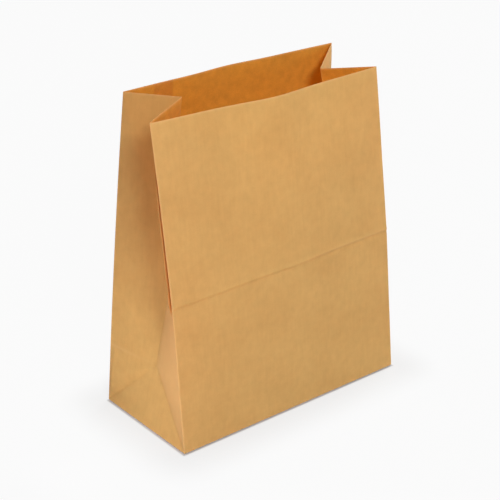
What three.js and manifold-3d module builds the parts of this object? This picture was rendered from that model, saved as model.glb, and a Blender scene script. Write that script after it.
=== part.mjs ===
// Block-bottom paper bag standing open, folded and glued from one sheet of brown paper.
// Millimetres, +Z up. The origin is the middle of the base's underside, +X runs along the wide
// panels to the right of the front panel, and +Y points to the back panel.
import * as THREE from 'three';
import { mergeVertices } from 'three/addons/utils/BufferGeometryUtils.js';
import Module from 'manifold-3d';

// The sheet and its folds
const PANEL_WIDTH = 220; // front and back panels
const GUSSET_WIDTH = 104; // each side gusset, which is also the depth of the base
const BAG_HEIGHT = 260; // paper from the base fold up to the mouth
const PAPER = 0.12; // one layer of paper
const CREASE_HEIGHT = 124; // fold line across the front panel, above the base fold

// The glued laps
const SEAM_PLACE = 30; // from the back panel's left fold to the outer cut edge of the seam
const SEAM_LAP = 18; // lap of the sheet's two edges, down the back panel
const SEAM_CLIMB = 6; // stretch where the outer layer climbs on to the inner one
const SEAM_EDGE = 0.3; // width of the step at a cut edge of the seam
const FLAP_LAP = 30; // lap of the two base flaps
const FLAP_INSET = 0.4; // set-back of a base flap from the base folds

// How the standing bag has opened
const MOUTH_SKEW = 14.2; // the front of the mouth lies this far to the left, the back to the right
const FRONT_LEAN_LEFT = 10.2; // how far each top corner leans in over its base corner
const FRONT_LEAN_RIGHT = 19.2;
const BACK_LEAN_LEFT = 19.3;
const BACK_LEAN_RIGHT = 3.1;
const FRONT_SWELL_LEFT = 3.2; // the leaning folds swell out this much half way up
const FRONT_SWELL_RIGHT = 1.8;
const BACK_SWELL_LEFT = 1.8;
const CREASE_RIDGE = 0.8; // the crease stands out this much from the front panel
const CREASE_REACH = 60; // and fades over this much paper above and below
const FRONT_BOW = 9.3; // outward bow of each panel in the middle of the mouth
const BACK_BOW = 4.2;
const BOW_SPREAD = 32; // half-width of the tighter part of that bow
const LEFT_VALLEY_RISE = 3.6; // the left gusset's middle fold ends this far above the mouth's corners
const RIGHT_VALLEY_DIP = 9.1; // and the right one this far below them

// How finely the sheet is divided
const PANEL_COLUMNS = 20;
const HALF_GUSSET_COLUMNS = 6;
const ROWS_TO_CREASE = 6;
const ROWS_TO_MOUTH = 10;

const HALF_GUSSET = GUSSET_WIDTH / 2;
const FLOOR_UNDERSIDE = 2 * PAPER; // the floor layer lies on the two base flaps
const UP = new THREE.Vector3(0, 0, 1);

const FRONT_LEFT = {
  x: -1, y: -1, skew: -MOUTH_SKEW, lean: FRONT_LEAN_LEFT, swell: FRONT_SWELL_LEFT,
};
const FRONT_RIGHT = {
  x: 1, y: -1, skew: -MOUTH_SKEW, lean: FRONT_LEAN_RIGHT, swell: FRONT_SWELL_RIGHT,
};
const BACK_LEFT = {
  x: -1, y: 1, skew: MOUTH_SKEW, lean: BACK_LEAN_LEFT, swell: BACK_SWELL_LEFT,
};
const BACK_RIGHT = {
  x: 1, y: 1, skew: MOUTH_SKEW, lean: BACK_LEAN_RIGHT, swell: 0,
};
const LEFT_GUSSET = { front: FRONT_LEFT, back: BACK_LEFT, dip: -LEFT_VALLEY_RISE };
const RIGHT_GUSSET = { front: FRONT_RIGHT, back: BACK_RIGHT, dip: RIGHT_VALLEY_DIP };

const mix = (a, b, share) => a.clone().lerp(b, share);
const spaced = (from, to, steps) =>
  Array.from({ length: steps }, (_, n) => from + ((to - from) * n) / steps);

// How far the crease pushes the front panel out at a paper height.
function creaseRidge(height) {
  return CREASE_RIDGE * Math.max(0, 1 - Math.abs(height - CREASE_HEIGHT) / CREASE_REACH);
}

// A point of one of the four upright folds, at a paper height above the base fold.
function foldPoint(corner, height) {
  const share = height / BAG_HEIGHT;
  const swell = 4 * share * (1 - share) * corner.swell;
  const ridge = corner.y < 0 ? creaseRidge(height) : 0;
  const rise = Math.sqrt(BAG_HEIGHT ** 2 - corner.skew ** 2 - corner.lean ** 2);
  return new THREE.Vector3(
    (corner.x * PANEL_WIDTH) / 2 + corner.skew * share,
    corner.y * (HALF_GUSSET - corner.lean * share + swell + ridge),
    FLOOR_UNDERSIDE + rise * share,
  );
}

// The plan position of a gusset's middle fold: half a gusset away from both of its upright folds.
function valleyPlan(gusset, height) {
  const front = foldPoint(gusset.front, height);
  const back = foldPoint(gusset.back, height);
  const span = back.clone().sub(front).setZ(0);
  const inset = Math.sqrt(Math.max(0, HALF_GUSSET ** 2 - span.lengthSq() / 4));
  const inward = span.cross(UP).normalize().multiplyScalar(-gusset.front.x * inset);
  return mix(front, back, 0.5).add(inward);
}

// Where the two diagonal folds from the base corners meet the middle fold.
function gussetApex(gusset) {
  const apex = valleyPlan(gusset, HALF_GUSSET);
  const run = apex.x - (gusset.front.x * PANEL_WIDTH) / 2;
  return apex.setZ(FLOOR_UNDERSIDE + Math.sqrt(HALF_GUSSET ** 2 - run ** 2));
}

function valleyPoint(gusset, height) {
  const apex = gussetApex(gusset);
  const top = valleyPlan(gusset, BAG_HEIGHT).z - gusset.dip;
  const share = (height - HALF_GUSSET) / (BAG_HEIGHT - HALF_GUSSET);
  return valleyPlan(gusset, height).setZ(apex.z + (top - apex.z) * share);
}

// A point of a side gusset, so far across the paper from its front fold.
function gussetPoint(gusset, across, height) {
  const front = foldPoint(gusset.front, height);
  const back = foldPoint(gusset.back, height);
  const fromBack = GUSSET_WIDTH - across;
  if (height >= HALF_GUSSET) {
    const valley = valleyPoint(gusset, height);
    return across <= HALF_GUSSET
      ? mix(front, valley, across / HALF_GUSSET)
      : mix(back, valley, fromBack / HALF_GUSSET);
  }
  const apex = gussetApex(gusset);
  const frontDiagonal = mix(foldPoint(gusset.front, 0), apex, height / HALF_GUSSET);
  const backDiagonal = mix(foldPoint(gusset.back, 0), apex, height / HALF_GUSSET);
  if (across < height) {
    return mix(front, frontDiagonal, across / height);
  }
  if (fromBack < height) {
    return mix(back, backDiagonal, fromBack / height);
  }
  return mix(frontDiagonal, backDiagonal, (across - height) / (GUSSET_WIDTH - 2 * height));
}

// A point of a wide panel, so far across the paper from its left fold.
// The bow fades to nothing at the base, and is half a broad arch and half a tighter ridge.
function panelPoint(left, right, bow, across, height) {
  const share = across / PANEL_WIDTH;
  const arch = 4 * share * (1 - share);
  const ridge = arch * Math.exp(-(((across - PANEL_WIDTH / 2) / BOW_SPREAD) ** 2));
  const point = mix(foldPoint(left, height), foldPoint(right, height), share);
  point.y += left.y * bow * (arch + ridge) * 0.5 * (height / BAG_HEIGHT) ** 2;
  return point;
}

// The upright lines of the sheet, in order round the bag, seen from above against the clock.
// outer and inner are the paper's two faces, as distances out from its middle surface.
function sheetColumns() {
  const plain = { outer: PAPER / 2, inner: -PAPER / 2 };
  const gussetSteps = spaced(0, GUSSET_WIDTH, 2 * HALF_GUSSET_COLUMNS);
  const panelSteps = spaced(0, PANEL_WIDTH, PANEL_COLUMNS);
  const seamEnd = PANEL_WIDTH - SEAM_PLACE;
  const seamStart = seamEnd - SEAM_LAP;
  const seam = [
    { across: seamStart - SEAM_CLIMB, ...plain },
    { across: seamStart - SEAM_EDGE, outer: 1.5 * PAPER, inner: PAPER / 2 },
    { across: seamStart, outer: 1.5 * PAPER, inner: -PAPER / 2 },
    { across: seamEnd, outer: 1.5 * PAPER, inner: -PAPER / 2 },
    { across: seamEnd + SEAM_EDGE, ...plain },
  ];
  const front = panelSteps.map((across) => ({
    at: (height) => panelPoint(FRONT_LEFT, FRONT_RIGHT, FRONT_BOW, across, height),
    lean: across < PANEL_WIDTH / 2,
    ...plain,
  }));
  const rightGusset = gussetSteps.map((across) => ({
    at: (height) => gussetPoint(RIGHT_GUSSET, across, height),
    lean: across < HALF_GUSSET,
    ...plain,
  }));
  const backSteps = panelSteps
    .filter((across) => across < seam[0].across || across > seam[4].across)
    .map((across) => ({ across, ...plain }))
    .concat(seam)
    .sort((a, b) => a.across - b.across);
  const back = backSteps.map(({ across, outer, inner }) => ({
    at: (height) => panelPoint(BACK_LEFT, BACK_RIGHT, BACK_BOW, PANEL_WIDTH - across, height),
    lean: across < PANEL_WIDTH / 2,
    outer,
    inner,
  }));
  const leftGusset = gussetSteps.map((across) => ({
    at: (height) => gussetPoint(LEFT_GUSSET, GUSSET_WIDTH - across, height),
    lean: across < HALF_GUSSET,
    ...plain,
  }));
  return [...front, ...rightGusset, ...back, ...leftGusset];
}

// Paper heights of the rows: the rows below the apex match the gusset's columns, so that the
// diagonal folds run through the corners of the cells.
function sheetRows() {
  return [
    ...spaced(0, HALF_GUSSET, HALF_GUSSET_COLUMNS),
    ...spaced(HALF_GUSSET, CREASE_HEIGHT, ROWS_TO_CREASE),
    ...spaced(CREASE_HEIGHT, BAG_HEIGHT, ROWS_TO_MOUTH),
    BAG_HEIGHT,
  ];
}

// The direction in which a paper face is offset at a fold, long enough to keep the paper's
// thickness on both sides of it.
function mitre(points, column, row) {
  const count = points.length;
  const here = points[column];
  const before = points[(column + count - 1) % count];
  const after = points[(column + 1) % count];
  const last = here.length - 1;
  const rise = here[Math.min(row + 1, last)].clone().sub(here[Math.max(row - 1, 0)]);
  const upward = row === 0 ? UP : rise;
  const leftNormal = here[row].clone().sub(before[row]).cross(upward).normalize();
  const rightNormal = after[row].clone().sub(here[row]).cross(upward).normalize();
  return leftNormal.clone().add(rightNormal).divideScalar(1 + leftNormal.dot(rightNormal));
}

// The folded sheet as one closed thin solid: outer face, inner face, rim and floor.
function sheetGeometry() {
  const columns = sheetColumns();
  const heights = sheetRows();
  const count = columns.length;
  const top = heights.length - 1;
  const points = columns.map(({ at }) => heights.map(at));
  const vertices = [];
  const triangles = [];
  const addFace = (face, floorHeight) => {
    const start = vertices.length;
    columns.forEach((column, c) => {
      heights.forEach((_, row) => {
        const vertex = points[c][row].clone().addScaledVector(mitre(points, c, row), column[face]);
        vertices.push(row === 0 ? vertex.setZ(floorHeight) : vertex);
      });
    });
    return (c, row) => start + (c % count) * heights.length + row;
  };
  const outer = addFace('outer', FLOOR_UNDERSIDE);
  const inner = addFace('inner', FLOOR_UNDERSIDE + PAPER);
  const quad = (a, b, c, d, lean) => {
    triangles.push(...(lean ? [a, b, c, a, c, d] : [a, b, d, b, c, d]));
  };
  columns.forEach(({ lean }, c) => {
    for (let row = 0; row < top; row += 1) {
      quad(outer(c, row), outer(c + 1, row), outer(c + 1, row + 1), outer(c, row + 1), lean);
      quad(inner(c + 1, row), inner(c, row), inner(c, row + 1), inner(c + 1, row + 1), !lean);
    }
    quad(outer(c, top), outer(c + 1, top), inner(c + 1, top), inner(c, top), lean);
  });
  const underside = vertices.push(new THREE.Vector3(0, 0, FLOOR_UNDERSIDE)) - 1;
  const floor = vertices.push(new THREE.Vector3(0, 0, FLOOR_UNDERSIDE + PAPER)) - 1;
  columns.forEach((_, c) => {
    triangles.push(underside, outer(c + 1, 0), outer(c, 0));
    triangles.push(floor, inner(c, 0), inner(c + 1, 0));
  });
  const geometry = new THREE.BufferGeometry().setFromPoints(vertices);
  return geometry.setIndex(triangles);
}

// A base flap, folded in from the front (-1) or the back (1) fold with its corners mitred.
function flapGeometry(side, underside) {
  const depth = HALF_GUSSET + FLAP_LAP / 2;
  const start = HALF_GUSSET - FLAP_INSET;
  const halfAt = (y) => PANEL_WIDTH / 2 - FLAP_INSET - (HALF_GUSSET - y);
  const end = HALF_GUSSET - depth;
  const outline = [
    [-halfAt(start), start],
    [halfAt(start), start],
    [halfAt(end), end],
    [-halfAt(end), end],
  ].map(([x, y]) => new THREE.Vector2(x, y * side));
  const thickness = FLOOR_UNDERSIDE + PAPER / 2 - underside;
  const flap = new THREE.ExtrudeGeometry(new THREE.Shape(outline), {
    depth: thickness,
    bevelEnabled: false,
  });
  return flap.translate(0, 0, underside);
}

const wasm = await Module();
wasm.setup();

function solidOf(geometry) {
  const bare = geometry.clone();
  bare.deleteAttribute('normal');
  bare.deleteAttribute('uv');
  const merged = mergeVertices(bare);
  return new wasm.Manifold(
    new wasm.Mesh({
      numProp: 3,
      vertProperties: new Float32Array(merged.attributes.position.array),
      triVerts: new Uint32Array(merged.index.array),
    }),
  );
}

function geometryOf(solid) {
  const { vertProperties, triVerts, numProp } = solid.getMesh();
  const geometry = new THREE.BufferGeometry();
  geometry.setAttribute('position', new THREE.BufferAttribute(vertProperties, numProp));
  geometry.setIndex(new THREE.BufferAttribute(triVerts, 1));
  geometry.computeVertexNormals();
  return geometry;
}

const kraftPaper = new THREE.MeshStandardMaterial({
  color: '#d2a564',
  roughness: 0.85,
  metalness: 0,
});

const bagSolid = solidOf(sheetGeometry())
  .add(solidOf(flapGeometry(-1, PAPER)))
  .add(solidOf(flapGeometry(1, 0)));

const bag = new THREE.Mesh(geometryOf(bagSolid), kraftPaper);
bag.name = 'paper_bag';

const part = new THREE.Group();
part.add(bag);

export default part;
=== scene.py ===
# A block-bottom bag of brown greaseproof paper, folded from one sheet and standing open.
import math

import bpy
import numpy as np
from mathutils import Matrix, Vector


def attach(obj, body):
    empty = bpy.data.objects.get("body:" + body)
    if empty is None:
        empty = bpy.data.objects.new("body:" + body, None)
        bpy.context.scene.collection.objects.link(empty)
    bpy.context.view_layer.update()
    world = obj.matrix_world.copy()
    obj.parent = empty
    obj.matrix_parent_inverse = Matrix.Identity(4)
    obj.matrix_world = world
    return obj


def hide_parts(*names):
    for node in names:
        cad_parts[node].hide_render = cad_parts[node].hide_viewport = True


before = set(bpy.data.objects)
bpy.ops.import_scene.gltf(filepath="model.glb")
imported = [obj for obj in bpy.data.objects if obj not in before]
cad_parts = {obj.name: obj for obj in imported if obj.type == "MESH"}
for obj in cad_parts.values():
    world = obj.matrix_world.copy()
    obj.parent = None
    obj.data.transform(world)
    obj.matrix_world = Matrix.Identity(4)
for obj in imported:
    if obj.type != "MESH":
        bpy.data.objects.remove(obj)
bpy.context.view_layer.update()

# The sheet and its folds, in metres, as in the solid
PANEL_WIDTH = 0.220
GUSSET_WIDTH = 0.104
HALF_GUSSET = GUSSET_WIDTH / 2
BAG_HEIGHT = 0.260
PAPER = 0.00012
CREASE_HEIGHT = 0.124
SEAM_PLACE = 0.030
SEAM_LAP = 0.018
SEAM_CLIMB = 0.006
FLAP_LAP = 0.030
FLAP_DEPTH = HALF_GUSSET + FLAP_LAP / 2

# How the standing bag has opened, as in the solid
MOUTH_SKEW = 0.0142
FRONT_LEAN_LEFT = 0.0102
FRONT_LEAN_RIGHT = 0.0192
BACK_LEAN_LEFT = 0.0193
BACK_LEAN_RIGHT = 0.0031
FRONT_SWELL_LEFT = 0.0032
FRONT_SWELL_RIGHT = 0.0018
BACK_SWELL_LEFT = 0.0018
CREASE_RIDGE = 0.0008
CREASE_REACH = 0.060
FRONT_BOW = 0.0093
BACK_BOW = 0.0042
BOW_SPREAD = 0.032
LEFT_VALLEY_RISE = 0.0036
RIGHT_VALLEY_DIP = 0.0091
BASE_LEVEL = 2 * PAPER

# The layers of the pasted base: heights of their middle surface, and how soon one passes into the next
BACK_FLAP_LEVEL = 1.5 * PAPER
FRONT_FLAP_LEVEL = 2.5 * PAPER
CORNER_LEVEL = 3.5 * PAPER
TUCK_LEVEL = 4.5 * PAPER
LEVEL_STEP = 0.0012
BASE_FADE = 0.004

# Softer forms that the paper takes. A higher power keeps a move closer to the mouth
FOLD_ROUND = 0.0006
FOLD_ROUND_SAMPLES = 5
CREASE_SLANT = 0.0036
CREASE_GROOVE = 0.0006
CREASE_GROOVE_WIDTH = 0.0015
CREASE_GROOVE_OFFSET = 0.00105
MOUTH_RISE_LEFT = -0.0012
MOUTH_RISE_RIGHT = 0.0009
MOUTH_RISE_POWER = 3
BACK_RIGHT_BEND = 0.00187
BEND_POWER = 6
BEND_PEAK = (BEND_POWER / (BEND_POWER + 1)) ** BEND_POWER / (BEND_POWER + 1)
WAVE = 0.0005
WAVE_START = 0.040
WAVES_ACROSS = (71, 19)
WAVES_UP = (23, 47)
VALLEY_TUCK = 0.004
VALLEY_TUCK_REACH = 0.110
DIAGONAL_BULGE = 0.35
DIAGONAL_BULGE_START = 0.006
BASE_LIFT = 0.0004
BASE_LIFT_REACH = 0.012
WALL_LIFT_REACH = 0.020

# The narrow pleat beside the left front fold: how deep it goes in, and where it comes out again
PLEAT_DEPTH = 0.0046
PLEAT_OUT = 0.0004
PLEAT_CREST_DEPTH = 0.0012
PLEAT_CREST_OUT = 0.0021
PLEAT_PAPER = (0.0046, 0.0084)
PLEAT_HEIGHTS = (0.106, 0.128, 0.190, 0.285)

# Lighter paper on the folds and the mouth, partly wear and partly painted highlight; painted highlights on
# the gussets' middle folds, their lower front halves and the right of the crease; painted shade on the left
# of the crease, along the low back diagonals and at each apex
WEAR_REACH = 0.0011
SIDE_CREASE_WEAR = 0.8
VALLEY_HIGHLIGHT = 0.5
STRIP_HIGHLIGHT = 0.75
STRIP_EDGE = 0.008
STRIP_HEIGHTS = (0.095, 0.125)
CREASE_HIGHLIGHT = 0.5
CREASE_TURN = (0.4, 0.9)
CREASE_LINE = 0.0010
FOLD_SHADE = 0.25
DIAGONAL_SHADE = 3
DIAGONAL_SHADE_REACH = 0.034
APEX_SHADE = 2
APEX_SHADE_REACH = 0.003

# Divisions of the sheet, and the sharpest bend that is shaded as a smooth one
PANEL_STEP = 0.004
GUSSET_STEP = 0.002
ROW_STEP = 0.003
CREASE_BAND = 0.004
CREASE_ROW_STEP = 0.0004
FOLD_STEPS = (0.0003, 0.0006, 0.0012, 0.002, 0.003)
PLEAT_COLUMNS = (0.004, 0.005, 0.006, 0.007, 0.008, 0.009)
SMOOTH_ANGLE = math.radians(50)

# Where the four upright folds and the two cut edges lie along the sheet
BACK_LEFT_LINE = SEAM_PLACE + SEAM_LAP
FRONT_LEFT_LINE = BACK_LEFT_LINE + GUSSET_WIDTH
FRONT_RIGHT_LINE = FRONT_LEFT_LINE + PANEL_WIDTH
BACK_RIGHT_LINE = FRONT_RIGHT_LINE + GUSSET_WIDTH
SHEET_WIDTH = BACK_RIGHT_LINE + PANEL_WIDTH - SEAM_PLACE
FOLD_LINES = (BACK_LEFT_LINE, FRONT_LEFT_LINE, FRONT_RIGHT_LINE, BACK_RIGHT_LINE)

FRONT = -1
BACK = 1
LEFT = -1
RIGHT = 1

# The shortest length that a share is taken of
LEAST = 1e-9


class UprightFold:
    """A fold between a wide panel and a gusset, from a base corner to the mouth.

    It may swell out along its middle, rise or sink at the mouth, and bend sideways below the mouth.
    """

    def __init__(self, side, face, lean, swell=0, mouth_rise=0, bend=0):
        self.side = side
        self.face = face
        self.lean = lean
        self.swell = swell
        self.skew = face * MOUTH_SKEW
        self.rise = math.sqrt(BAG_HEIGHT ** 2 - MOUTH_SKEW ** 2 - lean ** 2)
        self.mouth_rise = mouth_rise
        self.bend = bend

    def at(self, height):
        share = height / BAG_HEIGHT
        out = HALF_GUSSET - self.lean * share + 4 * share * (1 - share) * self.swell
        if self.face == FRONT:
            crease = CREASE_HEIGHT + self.side * CREASE_SLANT / 2
            out += CREASE_RIDGE * max(0, 1 - abs(height - crease) / CREASE_REACH)
        bend = self.bend * share ** BEND_POWER * (1 - share) / BEND_PEAK
        x = self.side * PANEL_WIDTH / 2 + self.skew * share + bend
        z = BASE_LEVEL + self.rise * share + self.mouth_rise * share ** MOUTH_RISE_POWER
        return np.array((x, self.face * out, z))


class Gusset:
    """A side gusset with its middle fold, and the two diagonal folds below their meeting point."""

    def __init__(self, front, back, dip):
        self.front = front
        self.back = back
        self.side = front.side
        self.apex = self.middle_plan(HALF_GUSSET)
        run = self.apex[0] - self.side * PANEL_WIDTH / 2
        self.apex[2] = BASE_LEVEL + math.sqrt(HALF_GUSSET ** 2 - run ** 2)
        self.top = BASE_LEVEL + (front.rise + back.rise) / 2 - dip

    def middle_plan(self, height):
        """Half a gusset away from both upright folds, seen from above, and tucked in a little more."""
        front, back = self.front.at(height), self.back.at(height)
        span = back - front
        length = math.hypot(span[0], span[1])
        inset = math.sqrt(max(0, HALF_GUSSET ** 2 - length ** 2 / 4))
        reach = np.clip((height - HALF_GUSSET) / VALLEY_TUCK_REACH, 0, 1)
        inset += VALLEY_TUCK * math.sin(math.pi * reach) ** 2
        inward = np.array((span[1], -span[0], 0)) * (-self.side * inset / length)
        return (front + back) / 2 + inward

    def middle(self, height):
        point = self.middle_plan(height)
        share = (height - HALF_GUSSET) / (BAG_HEIGHT - HALF_GUSSET)
        point[2] = self.apex[2] + (self.top - self.apex[2]) * share
        return point


FRONT_LEFT = UprightFold(LEFT, FRONT, FRONT_LEAN_LEFT, FRONT_SWELL_LEFT, MOUTH_RISE_LEFT)
FRONT_RIGHT = UprightFold(RIGHT, FRONT, FRONT_LEAN_RIGHT, FRONT_SWELL_RIGHT, MOUTH_RISE_RIGHT)
BACK_LEFT = UprightFold(LEFT, BACK, BACK_LEAN_LEFT, BACK_SWELL_LEFT)
BACK_RIGHT = UprightFold(RIGHT, BACK, BACK_LEAN_RIGHT, bend=BACK_RIGHT_BEND)
LEFT_GUSSET = Gusset(FRONT_LEFT, BACK_LEFT, -LEFT_VALLEY_RISE)
RIGHT_GUSSET = Gusset(FRONT_RIGHT, BACK_RIGHT, RIGHT_VALLEY_DIP)


def between(first, last, share):
    """Points from first to last at each share."""
    return first + (last - first) * np.asarray(share)[..., None]


def hump(value, centre, width):
    """A smooth rise to 1 at the centre."""
    return np.exp(-(((value - centre) / width) ** 2))


def eased(share):
    """A share from 0 to 1 that starts and stops softly."""
    return share * share * (3 - 2 * share)


def pleated(gusset, points, across, height):
    """Tucks the paper in beside the front fold and brings it out again, above the crease."""
    strength = eased(np.interp(height, PLEAT_HEIGHTS, (0, 1, 1, 0)))
    front, middle = gusset.front.at(height), gusset.middle(height)
    inward = (middle - front) / np.linalg.norm(middle - front)
    outward = np.array((inward[1], -inward[0], 0)) * gusset.side
    stops = (0, *PLEAT_PAPER, HALF_GUSSET)
    depth = np.interp(across, stops, (0, PLEAT_DEPTH, PLEAT_CREST_DEPTH, HALF_GUSSET))
    out = np.interp(across, stops, (0, PLEAT_OUT, PLEAT_CREST_OUT, 0))
    moved = (depth - across)[:, None] * inward + out[:, None] * outward
    return points + strength * moved


def bulge_over_diagonal(from_back, height):
    """The paper between the back diagonal and the side crease swells out, most just over the diagonal."""
    room = np.maximum(HALF_GUSSET - from_back, LEAST)
    share = np.clip((height - from_back) / room, 0, 1)
    start = eased(np.clip(from_back / DIAGONAL_BULGE_START, 0, 1))
    return DIAGONAL_BULGE * room * share * (1 - share) ** 2 * start


def gusset_line(gusset, across, height):
    """Points across a gusset from its front fold, at one paper height."""
    front, back = gusset.front.at(height), gusset.back.at(height)
    from_back = GUSSET_WIDTH - across
    if height >= HALF_GUSSET:
        middle = gusset.middle(height)
        front_half = between(front, middle, across / HALF_GUSSET)
        if gusset.side == LEFT:
            front_half = pleated(gusset, front_half, across, height)
        back_half = between(back, middle, from_back / HALF_GUSSET)
        return np.where((across <= HALF_GUSSET)[:, None], front_half, back_half)
    share = height / HALF_GUSSET
    front_diagonal = between(gusset.front.at(0), gusset.apex, share)
    back_diagonal = between(gusset.back.at(0), gusset.apex, share)
    low = max(height, LEAST)
    near_front = between(front, front_diagonal, across / low)
    near_back = between(back, back_diagonal, from_back / low)
    near_back[:, 0] += gusset.side * bulge_over_diagonal(from_back, height)
    middle = between(front_diagonal, back_diagonal, (across - height) / (GUSSET_WIDTH - 2 * height))
    choices = [(across < height)[:, None], (from_back < height)[:, None]]
    return np.select(choices, [near_front, near_back], middle)


def crease_height(across):
    """The crease across the front panel climbs a little from left to right."""
    return CREASE_HEIGHT + CREASE_SLANT * (across / PANEL_WIDTH - 0.5)


def crossing_waves(face, across, height):
    """Two waves across and up a panel, in radians to a metre, that cross and fade out towards the base."""
    first = np.sin(across * WAVES_ACROSS[0] + height * WAVES_UP[0] + face)
    second = np.sin(across * WAVES_ACROSS[1] + height * WAVES_UP[1])
    return first * second * np.clip(height / WAVE_START, 0, 1)


def crease_step(above):
    """1 just above the crease, where the paper stands out, and -1 just below it, where it sinks in."""
    lip = hump(above, CREASE_GROOVE_OFFSET, CREASE_GROOVE_WIDTH)
    groove = hump(above, -CREASE_GROOVE_OFFSET, CREASE_GROOVE_WIDTH)
    return lip - groove


def panel_line(left, right, bow, across, height):
    """Points across a wide panel from its left fold, at one paper height."""
    share = across / PANEL_WIDTH
    arch = 4 * share * (1 - share)
    ridge = arch * hump(across, PANEL_WIDTH / 2, BOW_SPREAD)
    points = between(left.at(height), right.at(height), share)
    points[:, 1] += left.face * bow * (arch + ridge) * 0.5 * (height / BAG_HEIGHT) ** 2
    points[:, 1] += WAVE * crossing_waves(left.face, across, height) * np.clip(arch, 0, 1)
    if left.face == FRONT:
        points[:, 1] -= CREASE_GROOVE * crease_step(height - crease_height(across))
    return points


def flap_line(face, flap_level, across, depth):
    """A flap folded under the base: its corners fold over at 45 degrees and lie on it."""
    corner = np.minimum(across, PANEL_WIDTH - across)
    end = np.where(across < PANEL_WIDTH / 2, LEFT, RIGHT)
    flat = corner >= depth
    x = np.where(flat, across - PANEL_WIDTH / 2, end * (PANEL_WIDTH / 2 - depth))
    y = face * (HALF_GUSSET - np.where(flat, depth, corner))
    over = 1 - np.clip((corner - depth) / LEVEL_STEP + 0.5, 0, 1)
    level = flap_level + (CORNER_LEVEL - flap_level) * over
    level = level + (TUCK_LEVEL - level) * (1 - np.clip(corner / LEVEL_STEP, 0, 1))
    return np.stack((x, y, level), 1)


def tuck_line(side, across, depth):
    """The side of the base, folded in flat over the corners of the flaps."""
    x = np.full_like(across, side * (PANEL_WIDTH / 2 - depth))
    return np.stack((x, across - HALF_GUSSET, np.full_like(across, TUCK_LEVEL)), 1)


def front_panel(across, height):
    if height < 0:
        return flap_line(FRONT, FRONT_FLAP_LEVEL, across, -height)
    return panel_line(FRONT_LEFT, FRONT_RIGHT, FRONT_BOW, across, height)


def back_panel(across, height):
    if height < 0:
        return flap_line(BACK, BACK_FLAP_LEVEL, across, -height)
    return panel_line(BACK_LEFT, BACK_RIGHT, BACK_BOW, across, height)


def side_gusset(gusset, across, height):
    if height < 0:
        return tuck_line(gusset.side, across, -height)
    return gusset_line(gusset, across, height)


def base_fold_levels(along):
    """The height of the base fold along the sheet, which follows the layers below it."""
    in_tuck = np.zeros(len(along))
    for start in (BACK_LEFT_LINE, FRONT_RIGHT_LINE):
        outside = np.maximum(start - along, along - start - GUSSET_WIDTH)
        in_tuck = np.maximum(in_tuck, 1 - np.clip(outside / LEVEL_STEP, 0, 1))
    in_front = (along > FRONT_LEFT_LINE) & (along < FRONT_RIGHT_LINE)
    level = np.where(in_front, FRONT_FLAP_LEVEL, BACK_FLAP_LEVEL)
    return level + (TUCK_LEVEL - level) * in_tuck


def base_lift(points):
    """The base curls up a little towards its folds, so that it stands on its middle."""
    inset = np.minimum(PANEL_WIDTH / 2 - np.abs(points[:, 0]), HALF_GUSSET - np.abs(points[:, 1]))
    return BASE_LIFT * (1 - np.clip(inset / BASE_LIFT_REACH, 0, 1)) ** 2


def sheet_line(along, height):
    """The sheet's middle surface: points at each distance along it, at one height."""
    points = np.empty((len(along), 3))
    part = np.searchsorted(FOLD_LINES, along, "right")
    points[part == 0] = back_panel(BACK_LEFT_LINE - along[part == 0], height)
    points[part == 1] = side_gusset(LEFT_GUSSET, FRONT_LEFT_LINE - along[part == 1], height)
    points[part == 2] = front_panel(along[part == 2] - FRONT_LEFT_LINE, height)
    points[part == 3] = side_gusset(RIGHT_GUSSET, along[part == 3] - FRONT_RIGHT_LINE, height)
    points[part == 4] = back_panel(PANEL_WIDTH - (along[part == 4] - BACK_RIGHT_LINE), height)
    climb_start = SHEET_WIDTH - SEAM_LAP - SEAM_CLIMB
    lift = PAPER * eased(np.clip((along - climb_start) / SEAM_CLIMB, 0, 1))
    if height < 0:
        points[:, 2] += base_lift(points) - lift
    else:
        points[:, 1] += lift
        points[:, 2] += BASE_LIFT * max(0, 1 - height / WALL_LIFT_REACH)
        points[:, 2] += max(0, 1 - height / BASE_FADE) * (base_fold_levels(along) - BASE_LEVEL)
    return points


def rounded_line(along, height):
    """The sheet with its folds rounded, by averaging the paper over a short stretch each way."""
    offsets = np.linspace(-FOLD_ROUND, FOLD_ROUND, FOLD_ROUND_SAMPLES)
    lines = [sheet_line(along + a, height + h) for a in offsets for h in offsets]
    return np.mean(lines, 0)


def distinct(points):
    """Division points in order, each once."""
    return sorted({round(float(p), 6) for p in points})


def graded(length, step, fine_start, fine_end):
    """Division points from 0 to length, closer together at the ends that are folds."""
    start = list(FOLD_STEPS) if fine_start else [0.0]
    end = [length - s for s in FOLD_STEPS] if fine_end else [length]
    count = max(1, round((end[-1] - start[-1]) / step))
    inner = np.linspace(start[-1], end[-1], count + 1)
    return distinct([0.0, *start, *inner, *end, length])


def chained(*parts):
    """Division points of several stretches, laid end to end."""
    points = [0.0]
    for part in parts:
        start = points[-1]
        points += [start + p for p in part[1:]]
    return np.array(points)


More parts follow.
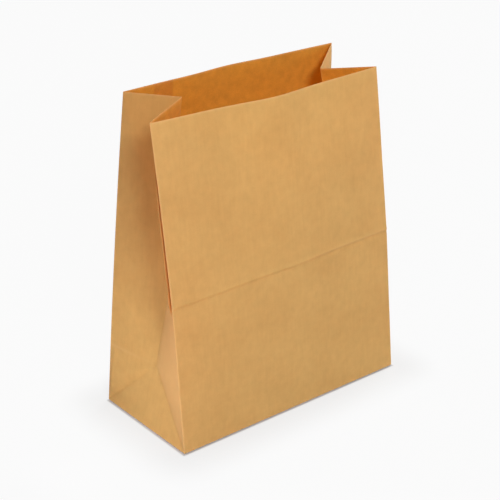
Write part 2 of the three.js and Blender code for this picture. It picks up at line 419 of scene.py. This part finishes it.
def sheet_divisions():
    """Columns along the sheet and rows up it, close together at the folds, pleat and crease."""
    half = distinct([*graded(HALF_GUSSET, GUSSET_STEP, True, True), *PLEAT_COLUMNS])
    gusset = half + [GUSSET_WIDTH - p for p in reversed(half[:-1])]
    panel = graded(PANEL_WIDTH, PANEL_STEP, True, True)
    inner_part = graded(BACK_LEFT_LINE, PANEL_STEP, False, True)
    outer_part = graded(SHEET_WIDTH - BACK_RIGHT_LINE, PANEL_STEP, True, False)
    columns = chained(inner_part, gusset, panel, gusset, outer_part)
    flap = [*half, HALF_GUSSET + FLAP_LAP / 4, FLAP_DEPTH]
    lower_wall = graded(CREASE_HEIGHT - CREASE_BAND - HALF_GUSSET, ROW_STEP, True, False)
    crease = graded(2 * CREASE_BAND, CREASE_ROW_STEP, False, False)
    upper_wall = graded(BAG_HEIGHT - CREASE_HEIGHT - CREASE_BAND, ROW_STEP, False, True)
    under = [FLAP_DEPTH - p for p in reversed(flap)]
    rows = chained(under, half, lower_wall, crease, upper_wall) - FLAP_DEPTH
    return columns, rows


def from_back_folds(along):
    """How far a place along the sheet lies in from the back folds, for the left and the right gusset."""
    return along - BACK_LEFT_LINE, BACK_RIGHT_LINE - along


def light_crease(across):
    """0 on the left of the front panel, where the crease gets painted shade, and 1 on its right, where it
    gets a painted highlight.
    """
    return eased(np.interp(across / PANEL_WIDTH, CREASE_TURN, (0, 1)))


def gusset_wear_and_highlight(from_back, height):
    """Lighter paper in a gusset: wear on the side crease, and painted highlight on the middle fold near the
    mouth and on the front half low down, beside the front fold.
    """
    towards_back = np.clip(1 - from_back / HALF_GUSSET, 0, 1)
    side_crease = SIDE_CREASE_WEAR * towards_back * hump(height, HALF_GUSSET, WEAR_REACH)
    near_mouth = np.clip(2 * height / BAG_HEIGHT - 1, 0, 1)
    valley_highlight = VALLEY_HIGHLIGHT * near_mouth * hump(from_back, HALF_GUSSET, WEAR_REACH)
    before_fold = np.minimum(height, HALF_GUSSET) - (GUSSET_WIDTH - from_back)
    low_down = np.interp(height, STRIP_HEIGHTS, (1, 0))
    strip_highlight = STRIP_HIGHLIGHT * eased(np.clip(before_fold / STRIP_EDGE, 0, 1)) * low_down
    return np.max((side_crease, valley_highlight, strip_highlight), 0)


def fold_wear_and_highlight(along, height):
    """How much lighter the paper is made: 1 on the upright folds, base folds and mouth, partly wear and
    partly painted highlight, and less on the other folds, with painted highlights in the gussets and on the
    right of the front crease.
    """
    from_fold = np.min([np.abs(along - line) for line in FOLD_LINES], 0)
    from_end = np.minimum(np.abs(height), BAG_HEIGHT - height)
    lighter_paper = hump(np.minimum(from_fold, from_end), 0, WEAR_REACH)
    for from_back in from_back_folds(along):
        inside = (from_back > 0) & (from_back < GUSSET_WIDTH)
        lighter_paper = np.where(inside, np.maximum(lighter_paper, gusset_wear_and_highlight(from_back, height)), lighter_paper)
    across = along - FRONT_LEFT_LINE
    on_right = light_crease(across) * (across < PANEL_WIDTH)
    light_line = hump(height - crease_height(across), CREASE_LINE, CREASE_LINE)
    return np.maximum(lighter_paper, CREASE_HIGHLIGHT * on_right * light_line)


def painted_fold_shade(along, height):
    """Painted shade: darker lines along the crease in the front and the back diagonals low down, and a dark
    spot at each gusset's apex.
    """
    across = along - FRONT_LEFT_LINE
    on_left = (1 - light_crease(across)) * (across > 0)
    painted_shade = on_left * hump(height - crease_height(across), -CREASE_LINE / 2, CREASE_LINE)
    for from_back in from_back_folds(along):
        inside = (from_back >= 0) & (from_back <= HALF_GUSSET) & (height >= 0)
        low_down = DIAGONAL_SHADE * np.clip(1 - from_back / DIAGONAL_SHADE_REACH, 0, 1)
        diagonal = low_down * hump(height - from_back, 0, CREASE_LINE)
        from_apex = np.hypot(from_back - HALF_GUSSET, height - HALF_GUSSET)
        apex = APEX_SHADE * hump(from_apex, 0, APEX_SHADE_REACH)
        painted_shade = np.where(inside, np.maximum(diagonal, apex), painted_shade)
    return painted_shade


def rising_cells(along, height):
    """Where the cells of the sheet are cut from lower left to upper right, as the slant folds run."""
    back_left = (along > BACK_LEFT_LINE) & (along < BACK_LEFT_LINE + HALF_GUSSET)
    front_right = (along > FRONT_RIGHT_LINE) & (along < FRONT_RIGHT_LINE + HALF_GUSSET)
    flap_right = (along > FRONT_RIGHT_LINE - PANEL_WIDTH / 2) & (along < FRONT_RIGHT_LINE)
    flap_left = (along < BACK_LEFT_LINE) | (along > BACK_RIGHT_LINE + PANEL_WIDTH / 2)
    return np.where(height > 0, back_left | front_right, flap_left | flap_right)


def read(items, name, width):
    """One property of all vertices, faces or corners of a mesh, as an array."""
    values = np.empty(len(items) * width)
    items.foreach_get(name, values)
    return values.reshape(-1, width)


def cut_cells(mesh, rising):
    """Cuts the cells of the sheet into triangles, one way where they rise and the other way elsewhere."""
    bpy.context.tool_settings.mesh_select_mode = (False, False, True)
    bpy.ops.object.mode_set(mode="EDIT")
    bpy.ops.mesh.select_all(action="DESELECT")
    bpy.ops.object.mode_set(mode="OBJECT")
    mesh.polygons.foreach_set("select", rising)
    bpy.ops.object.mode_set(mode="EDIT")
    bpy.ops.mesh.quads_convert_to_tris(quad_method="FIXED")
    bpy.ops.mesh.select_all(action="SELECT")
    bpy.ops.mesh.quads_convert_to_tris(quad_method="FIXED_ALTERNATE")
    bpy.ops.object.mode_set(mode="OBJECT")


def keep_values(mesh, name, values):
    """Keeps one number for each point of the mesh, for the paper's finish to read."""
    mesh.attributes.new(name, "FLOAT", "POINT").data.foreach_set("value", values)


def folded_bag():
    """A grid with a line for each division of the flat sheet, moved point by point into the folded bag."""
    columns, rows = sheet_divisions()
    bpy.ops.object.select_all(action="DESELECT")
    bpy.ops.mesh.primitive_grid_add(
        x_subdivisions=len(columns) - 1, y_subdivisions=len(rows) - 1, size=1)
    bag = bpy.context.object
    bag.name = "folded_sheet"
    mesh = bag.data
    mesh.name = bag.name
    flat = read(mesh.vertices, "co", 3)
    column = np.rint((flat[:, 0] + 0.5) * (len(columns) - 1)).astype(int)
    row = np.rint((flat[:, 1] + 0.5) * (len(rows) - 1)).astype(int)
    along, height = columns[column], rows[row]
    corner = read(mesh.loops, "vertex_index", 1).astype(int).ravel()
    mesh.uv_layers[0].data.foreach_set("uv", np.stack((along, height), 1)[corner].ravel())
    first, second = read(mesh.polygons, "vertices", 4)[:, (0, 2)].astype(int).T
    rising = rising_cells((along[first] + along[second]) / 2, (height[first] + height[second]) / 2)
    cut_cells(mesh, rising)

    lines = np.array([rounded_line(columns, row_height) for row_height in rows])
    mesh.vertices.foreach_set("co", lines[row, column].ravel())
    # Where the paper is lighter from wear and painted highlight, and darker from painted shade
    keep_values(mesh, "fold_wear_and_highlight", fold_wear_and_highlight(along, height))
    keep_values(mesh, "painted_fold_shade", painted_fold_shade(along, height))
    thicken = bag.modifiers.new("paper", "SOLIDIFY")
    thicken.thickness = PAPER
    thicken.offset = 0
    bpy.ops.object.modifier_apply(modifier=thicken.name)
    keep_values(mesh, "inner_face", np.arange(len(mesh.vertices)) >= len(flat))
    bpy.ops.object.shade_smooth_by_angle(angle=SMOOTH_ANGLE)
    return bag


class Value:
    """One output of a node. Sums and products of values add Math nodes."""

    def __init__(self, finish, socket):
        self.finish = finish
        self.socket = socket

    def math(self, operation, first, second):
        return self.finish.node("ShaderNodeMath", {"operation": operation}, {0: first, 1: second})

    def __add__(self, other):
        return self.math("ADD", self, other)

    def __radd__(self, other):
        return self.math("ADD", other, self)

    def __sub__(self, other):
        return self.math("SUBTRACT", self, other)

    def __rsub__(self, other):
        return self.math("SUBTRACT", other, self)

    def __mul__(self, other):
        return self.math("MULTIPLY", self, other)

    def __rmul__(self, other):
        return self.math("MULTIPLY", other, self)


class Finish:
    """The node tree of a material or of the world, emptied and filled node by node."""

    def __init__(self, owner):
        owner.use_nodes = True
        self.tree = owner.node_tree
        self.tree.nodes.clear()

    def node(self, kind, settings=None, sockets=None, output=0):
        """Adds a node, with its settings first and its sockets then, and gives one of its outputs."""
        made = self.tree.nodes.new(kind)
        for name, value in (settings or {}).items():
            setattr(made, name, value)
        for key, value in (sockets or {}).items():
            if isinstance(value, Value):
                self.tree.links.new(value.socket, made.inputs[key])
            else:
                made.inputs[key].default_value = value
        return Value(self, made.outputs[output]) if made.outputs else None

    def attribute(self, name):
        return self.node("ShaderNodeAttribute", {"attribute_name": name}, output="Fac")

    def mix_colour(self, share, first, second):
        """A colour between two. The Mix node takes colours at inputs 6 and 7 and gives one at output 2."""
        return self.node("ShaderNodeMix", {"data_type": "RGBA"}, {0: share, 6: first, 7: second}, 2)


# The paper's colours: the deep one serves the grain and the painted shade, the worn one serves wear and
# painted highlights, and the inner ones are painted a deeper orange as shade and bounce light inside the
# bag; then the share and colour of the light that comes through it
KRAFT = (0.925, 0.70, 0.236, 1)
KRAFT_DEEP_AND_SHADE = (0.705, 0.505, 0.155, 1)
KRAFT_WORN_AND_HIGHLIGHT = (0.96, 0.74, 0.32, 1)
SHADED_KRAFT_INSIDE = (0.87, 0.455, 0.046, 1)
SHADED_KRAFT_INSIDE_DEEP = (0.60, 0.29, 0.024, 1)
SHINING_THROUGH = 0.46
THROUGH_KRAFT = (1, 0.55, 0.11, 1)

# The paper's grain: spots to a metre, and how strongly each kind shows outside and inside
PATCH_SPOTS = 28
CLOUD_SPOTS = 150
STREAK_SPOTS = 420
FIBRE_SPOTS = 900
STREAK_SHAPE = (1, 0.12, 1)
PATCHES_OUTSIDE = 0.8
CLOUDS_OUTSIDE = 0.9
STREAKS_OUTSIDE = 0.6
FIBRES_OUTSIDE = 0.5
CLOUDS_INSIDE = 2.0
FIBRES_INSIDE = 1.4
WEAR_AND_HIGHLIGHT_SHOWS = 0.6
MATT = 0.84
MATT_FIBRES = 0.2


def grain(finish, place, spots, detail):
    """Noise with so many spots to a metre, as often below 0 as above it."""
    noise = finish.node("ShaderNodeTexNoise", None, {"Vector": place, "Scale": spots, "Detail": detail})
    return noise - 0.5


def kraft_paper():
    """Matt brown kraft that lets light through: soft clouds, upright streaks, fibres, worn folds with
    painted highlights, painted shade at the crease, diagonals and apexes, and an inside painted deeper
    orange as shade.
    """
    material = bpy.data.materials.new("kraft_paper")
    finish = Finish(material)
    place = finish.node("ShaderNodeUVMap", {"uv_map": "UVMap"})
    upright = finish.node("ShaderNodeMapping", None, {"Vector": place, "Scale": STREAK_SHAPE})
    patches = grain(finish, place, PATCH_SPOTS, detail=2)
    clouds = grain(finish, place, CLOUD_SPOTS, detail=4)
    streaks = grain(finish, upright, STREAK_SPOTS, detail=3)
    fibres = grain(finish, place, FIBRE_SPOTS, detail=5)
    worn_and_highlit = finish.attribute("fold_wear_and_highlight")
    painted_shade = finish.attribute("painted_fold_shade")
    inside = finish.attribute("inner_face")
    broad = patches * PATCHES_OUTSIDE + clouds * CLOUDS_OUTSIDE
    fine = streaks * STREAKS_OUTSIDE + fibres * FIBRES_OUTSIDE
    # Painted shade darkens the outside along the crease, the low back diagonals and at each apex, towards
    # the grain's deep colour
    outer = finish.mix_colour(0.5 + broad + fine + painted_shade * FOLD_SHADE, KRAFT, KRAFT_DEEP_AND_SHADE)
    clouded = 0.5 + clouds * CLOUDS_INSIDE + fibres * FIBRES_INSIDE
    # The inside is painted a deeper orange, as shade and bounce light inside the bag
    inner = finish.mix_colour(clouded, SHADED_KRAFT_INSIDE, SHADED_KRAFT_INSIDE_DEEP)
    body = finish.mix_colour(inside, outer, inner)
    # Wear and painted highlights lighten the folds, the mouth, the gussets' middle folds and lower front
    # halves, and the right of the crease
    colour = finish.mix_colour(worn_and_highlit * WEAR_AND_HIGHLIGHT_SHOWS, body, KRAFT_WORN_AND_HIGHLIGHT)
    height = fibres + streaks
    relief = finish.node("ShaderNodeBump", None, {"Strength": 0.12, "Distance": 0.0002, "Height": height})
    shader = finish.node("ShaderNodeBsdfPrincipled", None, {
        "Base Color": colour, "Roughness": MATT + fibres * MATT_FIBRES, "Normal": relief,
        "Specular IOR Level": 0.8, "IOR": 1.55, "Sheen Weight": 0.06, "Sheen Roughness": 0.4})
    through = finish.node("ShaderNodeBsdfTranslucent", None, {"Color": THROUGH_KRAFT})
    paper = finish.node("ShaderNodeMixShader", None, {0: SHINING_THROUGH, 1: shader, 2: through})
    finish.node("ShaderNodeOutputMaterial", None, {"Surface": paper})
    return material


def studio_ray(finish):
    """1 for rays that show the surroundings as a picture, and 0 for light scattered by floor or paper."""
    camera_ray = finish.node("ShaderNodeLightPath", output="Is Camera Ray")
    outputs = camera_ray.socket.node.outputs
    glossy = Value(finish, outputs["Is Glossy Ray"])
    through = Value(finish, outputs["Is Transmission Ray"])
    scattered = Value(finish, outputs["Is Diffuse Ray"])
    settings = {"operation": "ADD", "use_clamp": True}
    return finish.node("ShaderNodeMath", settings, {0: camera_ray + glossy, 1: through * (1 - scattered)})


# The floor and background, and how much of that white the floor shows from the bag's foot outwards: less
# near the foot, which paints a darker band there on top of the bag's real shadow
FLOOR_SIZE = 8.0
FLOOR_WHITE = (0.55, 0.55, 0.55, 1)
BACKGROUND_WHITE = (0.975, 0.975, 0.975, 1)
CONTACT_REACH = 0.0022
SHADOW_REACH = 0.045
CONTACT_GLOW = 0.1
SHADOW_GLOW = 0.78
FLOOR_GLOW = 0.97
AMBIENT = 0.02


def pale_floor():
    """A white floor that shows as the white background, with the bag's shadow kept on it and painted shade
    in a band round the bag's foot, where it shows less white.
    """
    bpy.ops.object.select_all(action="DESELECT")
    bpy.ops.mesh.primitive_plane_add(size=FLOOR_SIZE)
    floor = bpy.context.object
    floor.name = "floor"
    material = bpy.data.materials.new("white_floor")
    finish = Finish(material)
    place = finish.node("ShaderNodeTexCoord", output="Object")
    either_side = finish.node("ShaderNodeVectorMath", {"operation": "ABSOLUTE"}, {0: place})
    base_corner = (PANEL_WIDTH / 2, HALF_GUSSET, 0)
    past = finish.node("ShaderNodeVectorMath", {"operation": "SUBTRACT"}, {0: either_side, 1: base_corner})
    outside = finish.node("ShaderNodeVectorMath", {"operation": "MAXIMUM"}, {0: past, 1: (0, 0, 0)})
    away = finish.node("ShaderNodeVectorMath", {"operation": "LENGTH"}, {0: outside}, "Value")
    soft = {"interpolation_type": "SMOOTHSTEP"}
    contact = finish.node("ShaderNodeMapRange", soft, {"Value": away, "From Max": CONTACT_REACH})
    shadow = finish.node("ShaderNodeMapRange", soft, {"Value": away, "From Max": SHADOW_REACH})
    # Less white near the foot paints a darker band there, which the real shadow deepens
    share = CONTACT_GLOW + contact * (SHADOW_GLOW - CONTACT_GLOW) + shadow * (FLOOR_GLOW - SHADOW_GLOW)
    matt = finish.node("ShaderNodeBsdfDiffuse", None, {"Color": FLOOR_WHITE})
    glow = finish.node("ShaderNodeEmission", None, {"Color": BACKGROUND_WHITE, "Strength": 1})
    shown = finish.node("ShaderNodeMixShader", None, {0: studio_ray(finish) * share, 1: matt, 2: glow})
    finish.node("ShaderNodeOutputMaterial", None, {"Surface": shown})
    floor.data.materials.append(material)


def white_world():
    """Soft light from all round, seen as a plain white background."""
    world = bpy.data.worlds.new("white_studio")
    bpy.context.scene.world = world
    finish = Finish(world)
    soft = finish.node("ShaderNodeBackground", None, {"Color": (1, 1, 1, 1), "Strength": AMBIENT})
    plain = finish.node("ShaderNodeBackground", None, {"Color": BACKGROUND_WHITE, "Strength": 1})
    shown = finish.node("ShaderNodeMixShader", None, {0: studio_ray(finish), 1: soft, 2: plain})
    finish.node("ShaderNodeOutputWorld", None, {"Surface": shown})


def set_up(name, data, azimuth, elevation, distance, target):
    """A lamp or camera that faces the target. Azimuth 0 is in front of the bag, and grows to its right."""
    turn, lift = math.radians(azimuth), math.radians(elevation)
    back = Vector((math.sin(turn) * math.cos(lift), -math.cos(turn) * math.cos(lift), math.sin(lift)))
    holder = bpy.data.objects.new(name, data)
    bpy.context.scene.collection.objects.link(holder)
    holder.location = Vector(target) + back * distance
    holder.rotation_mode = "QUATERNION"
    holder.rotation_quaternion = back.to_track_quat("Z", "Y")
    return holder


LAMP_DISTANCE = 2.5
BAG_MIDDLE = (0, 0, BAG_HEIGHT / 2)
LEFT_FOOT = (-0.105, 0, 0.045)


def softbox(name, azimuth, elevation, size, power, distance=LAMP_DISTANCE, target=BAG_MIDDLE):
    """A round soft lamp that the camera doesn't see."""
    lamp = bpy.data.lights.new(name, "AREA")
    lamp.shape = "DISK"
    lamp.size = size
    lamp.energy = power
    holder = set_up(name, lamp, azimuth, elevation, distance, target)
    holder.visible_camera = False


CAMERA_AZIMUTH = -39.18
CAMERA_ELEVATION = 23.11
CAMERA_DISTANCE = 0.9224
CAMERA_TARGET = (-0.0042, 0, 0.1213)
CAMERA_LENS = 83.81
SENSOR_WIDTH = 36


def camera():
    """The view of the photograph."""
    lens = bpy.data.cameras.new("camera")
    lens.lens = CAMERA_LENS
    lens.sensor_width = SENSOR_WIDTH
    holder = set_up("camera", lens, CAMERA_AZIMUTH, CAMERA_ELEVATION, CAMERA_DISTANCE, CAMERA_TARGET)
    bpy.context.scene.camera = holder


camera()
pale_floor()
white_world()
softbox("key", azimuth=-23, elevation=31, size=0.6, power=36)
softbox("front", azimuth=6, elevation=3, size=1.0, power=15)
softbox("left_foot", azimuth=-75, elevation=8, size=0.06, power=0.074, distance=0.115, target=LEFT_FOOT)
softbox("right", azimuth=100, elevation=50, size=1.5, power=43)
softbox("back", azimuth=175, elevation=30, size=1.5, power=4)
softbox("back_left", azimuth=-145, elevation=38, size=1.0, power=10)

bag = folded_bag()
bag.data.materials.append(kraft_paper())
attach(bag, "root")
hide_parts("paper_bag")

bpy.context.scene.view_settings.view_transform = "Standard"
